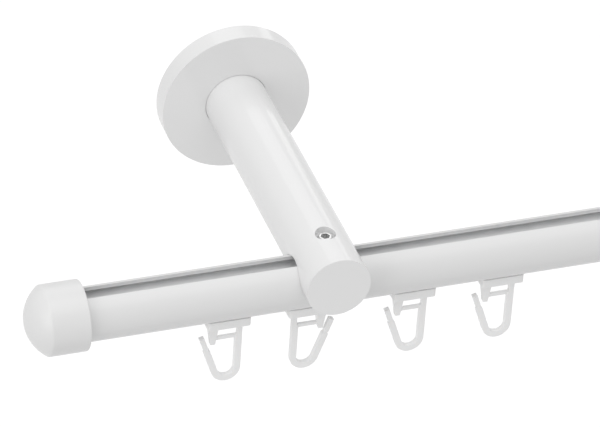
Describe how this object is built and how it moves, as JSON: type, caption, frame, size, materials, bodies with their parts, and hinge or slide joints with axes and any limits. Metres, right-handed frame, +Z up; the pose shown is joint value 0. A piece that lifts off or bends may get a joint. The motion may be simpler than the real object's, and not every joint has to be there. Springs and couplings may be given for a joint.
{
  "type": "curtain rod with brackets",
  "caption": "Round slotted curtain rod with inner-running hook gliders, domed end caps and two cylindrical wall brackets with round cover rosettes.",
  "frame": {"origin": "on the wall, midway between the two bracket arms, on their common height", "axes": "+X along the rod to the right as seen from the room, +Y into the wall, +Z up"},
  "size_m": [0.8176, 0.128, 0.0755],
  "materials": {
    "rod_coating": "extruded aluminium, white powder coat, satin",
    "bracket_coating": "turned aluminium, white powder coat, satin",
    "rosette_coating": "aluminium cup, white powder coat, satin",
    "cap_plastic": "moulded white plastic, soft gloss",
    "insert_plastic": "moulded grey plastic",
    "glider_plastic": "moulded white plastic, slightly translucent",
    "screw_steel": "bright nickel-plated steel",
    "plated_steel": "zinc-plated steel",
    "dark_steel": "black-oxide steel",
    "ring_rubber": "black rubber"
  },
  "bodies": {
    "bracket_rod": {"rod_profile": "rod_coating", "end_cap_left": "cap_plastic", "end_cap_right": "cap_plastic", "cap_insert_left": "insert_plastic", "cap_insert_right": "insert_plastic", "arm_left": "bracket_coating", "arm_right": "bracket_coating", "slot_key_left": "plated_steel", "slot_key_right": "plated_steel", "wall_plate_left": "plated_steel", "wall_plate_right": "plated_steel", "spigot_left": "plated_steel", "spigot_right": "plated_steel", "spigot_screw_left": "plated_steel", "spigot_screw_right": "plated_steel", "lock_screw_left": "dark_steel", "lock_screw_right": "dark_steel"},
    "rosette_left": {"rosette_left": "rosette_coating", "grip_ring_left": "ring_rubber"},
    "clamp_screw_left": {"clamp_screw_left": "screw_steel"},
    "rosette_right": {"rosette_right": "rosette_coating", "grip_ring_right": "ring_rubber"},
    "clamp_screw_right": {"clamp_screw_right": "screw_steel"},
    "glider_1": {"runner_1": "glider_plastic"},
    "hook_1": {"hook_1": "glider_plastic"},
    "glider_2": {"runner_2": "glider_plastic"},
    "hook_2": {"hook_2": "glider_plastic"},
    "glider_3": {"runner_3": "glider_plastic"},
    "hook_3": {"hook_3": "glider_plastic"},
    "glider_4": {"runner_4": "glider_plastic"},
    "hook_4": {"hook_4": "glider_plastic"},
    "glider_5": {"runner_5": "glider_plastic"},
    "hook_5": {"hook_5": "glider_plastic"},
    "glider_6": {"runner_6": "glider_plastic"},
    "hook_6": {"hook_6": "glider_plastic"},
    "glider_7": {"runner_7": "glider_plastic"},
    "hook_7": {"hook_7": "glider_plastic"},
    "glider_8": {"runner_8": "glider_plastic"},
    "hook_8": {"hook_8": "glider_plastic"},
    "glider_9": {"runner_9": "glider_plastic"},
    "hook_9": {"hook_9": "glider_plastic"},
    "glider_10": {"runner_10": "glider_plastic"},
    "hook_10": {"hook_10": "glider_plastic"}
  },
  "joints": [
    {"name": "rosette_left_slide", "type": "slide", "parent": "bracket_rod", "child": "rosette_left", "axis": [0, -1, 0], "range_m": [0, 0.06]},
    {"name": "clamp_screw_left_turn", "type": "hinge", "parent": "bracket_rod", "child": "clamp_screw_left", "pos_m": [-0.2973, -0.1108, 0], "axis": [0, 0, 1], "range_deg": [0, 360]},
    {"name": "rosette_right_slide", "type": "slide", "parent": "bracket_rod", "child": "rosette_right", "axis": [0, -1, 0], "range_m": [0, 0.06]},
    {"name": "clamp_screw_right_turn", "type": "hinge", "parent": "bracket_rod", "child": "clamp_screw_right", "pos_m": [0.2973, -0.1108, 0], "axis": [0, 0, 1], "range_deg": [0, 360]},
    {"name": "glider_1_slide", "type": "slide", "parent": "bracket_rod", "child": "glider_1", "axis": [1, 0, 0], "range_m": [-0.0436, 0.0044]},
    {"name": "hook_1_swivel", "type": "hinge", "parent": "glider_1", "child": "hook_1", "pos_m": [-0.3332, -0.112, -0.007], "axis": [0, 0, 1], "continuous": true},
    {"name": "glider_2_slide", "type": "slide", "parent": "bracket_rod", "child": "glider_2", "axis": [1, 0, 0], "range_m": [-0.0044, 0.0092]},
    {"name": "hook_2_swivel", "type": "hinge", "parent": "glider_2", "child": "hook_2", "pos_m": [-0.3026, -0.112, -0.007], "axis": [0, 0, 1], "continuous": true},
    {"name": "glider_3_slide", "type": "slide", "parent": "bracket_rod", "child": "glider_3", "axis": [1, 0, 0], "range_m": [-0.0092, 0.0062]},
    {"name": "hook_3_swivel", "type": "hinge", "parent": "glider_3", "child": "hook_3", "pos_m": [-0.2625, -0.112, -0.007], "axis": [0, 0, 1], "continuous": true},
    {"name": "glider_4_slide", "type": "slide", "parent": "bracket_rod", "child": "glider_4", "axis": [1, 0, 0], "range_m": [-0.0062, 0.0221]},
    {"name": "hook_4_swivel", "type": "hinge", "parent": "glider_4", "child": "hook_4", "pos_m": [-0.2283, -0.112, -0.007], "axis": [0, 0, 1], "continuous": true},
    {"name": "glider_5_slide", "type": "slide", "parent": "bracket_rod", "child": "glider_5", "axis": [1, 0, 0], "range_m": [-0.0221, 0.0316]},
    {"name": "hook_5_swivel", "type": "hinge", "parent": "glider_5", "child": "hook_5", "pos_m": [-0.1623, -0.112, -0.007], "axis": [0, 0, 1], "continuous": true},
    {"name": "glider_6_slide", "type": "slide", "parent": "bracket_rod", "child": "glider_6", "axis": [1, 0, 0], "range_m": [-0.0316, 0.0316]},
    {"name": "hook_6_swivel", "type": "hinge", "parent": "glider_6", "child": "hook_6", "pos_m": [-0.0773, -0.112, -0.007], "axis": [0, 0, 1], "continuous": true},
    {"name": "glider_7_slide", "type": "slide", "parent": "bracket_rod", "child": "glider_7", "axis": [1, 0, 0], "range_m": [-0.0316, 0.0316]},
    {"name": "hook_7_swivel", "type": "hinge", "parent": "glider_7", "child": "hook_7", "pos_m": [0.0077, -0.112, -0.007], "axis": [0, 0, 1], "continuous": true},
    {"name": "glider_8_slide", "type": "slide", "parent": "bracket_rod", "child": "glider_8", "axis": [1, 0, 0], "range_m": [-0.0316, 0.0316]},
    {"name": "hook_8_swivel", "type": "hinge", "parent": "glider_8", "child": "hook_8", "pos_m": [0.0927, -0.112, -0.007], "axis": [0, 0, 1], "continuous": true},
    {"name": "glider_9_slide", "type": "slide", "parent": "bracket_rod", "child": "glider_9", "axis": [1, 0, 0], "range_m": [-0.0316, 0.0316]},
    {"name": "hook_9_swivel", "type": "hinge", "parent": "glider_9", "child": "hook_9", "pos_m": [0.1777, -0.112, -0.007], "axis": [0, 0, 1], "continuous": true},
    {"name": "glider_10_slide", "type": "slide", "parent": "bracket_rod", "child": "glider_10", "axis": [1, 0, 0], "range_m": [-0.0316, 0.1141]},
    {"name": "hook_10_swivel", "type": "hinge", "parent": "glider_10", "child": "hook_10", "pos_m": [0.2627, -0.112, -0.007], "axis": [0, 0, 1], "continuous": true}
  ]
}
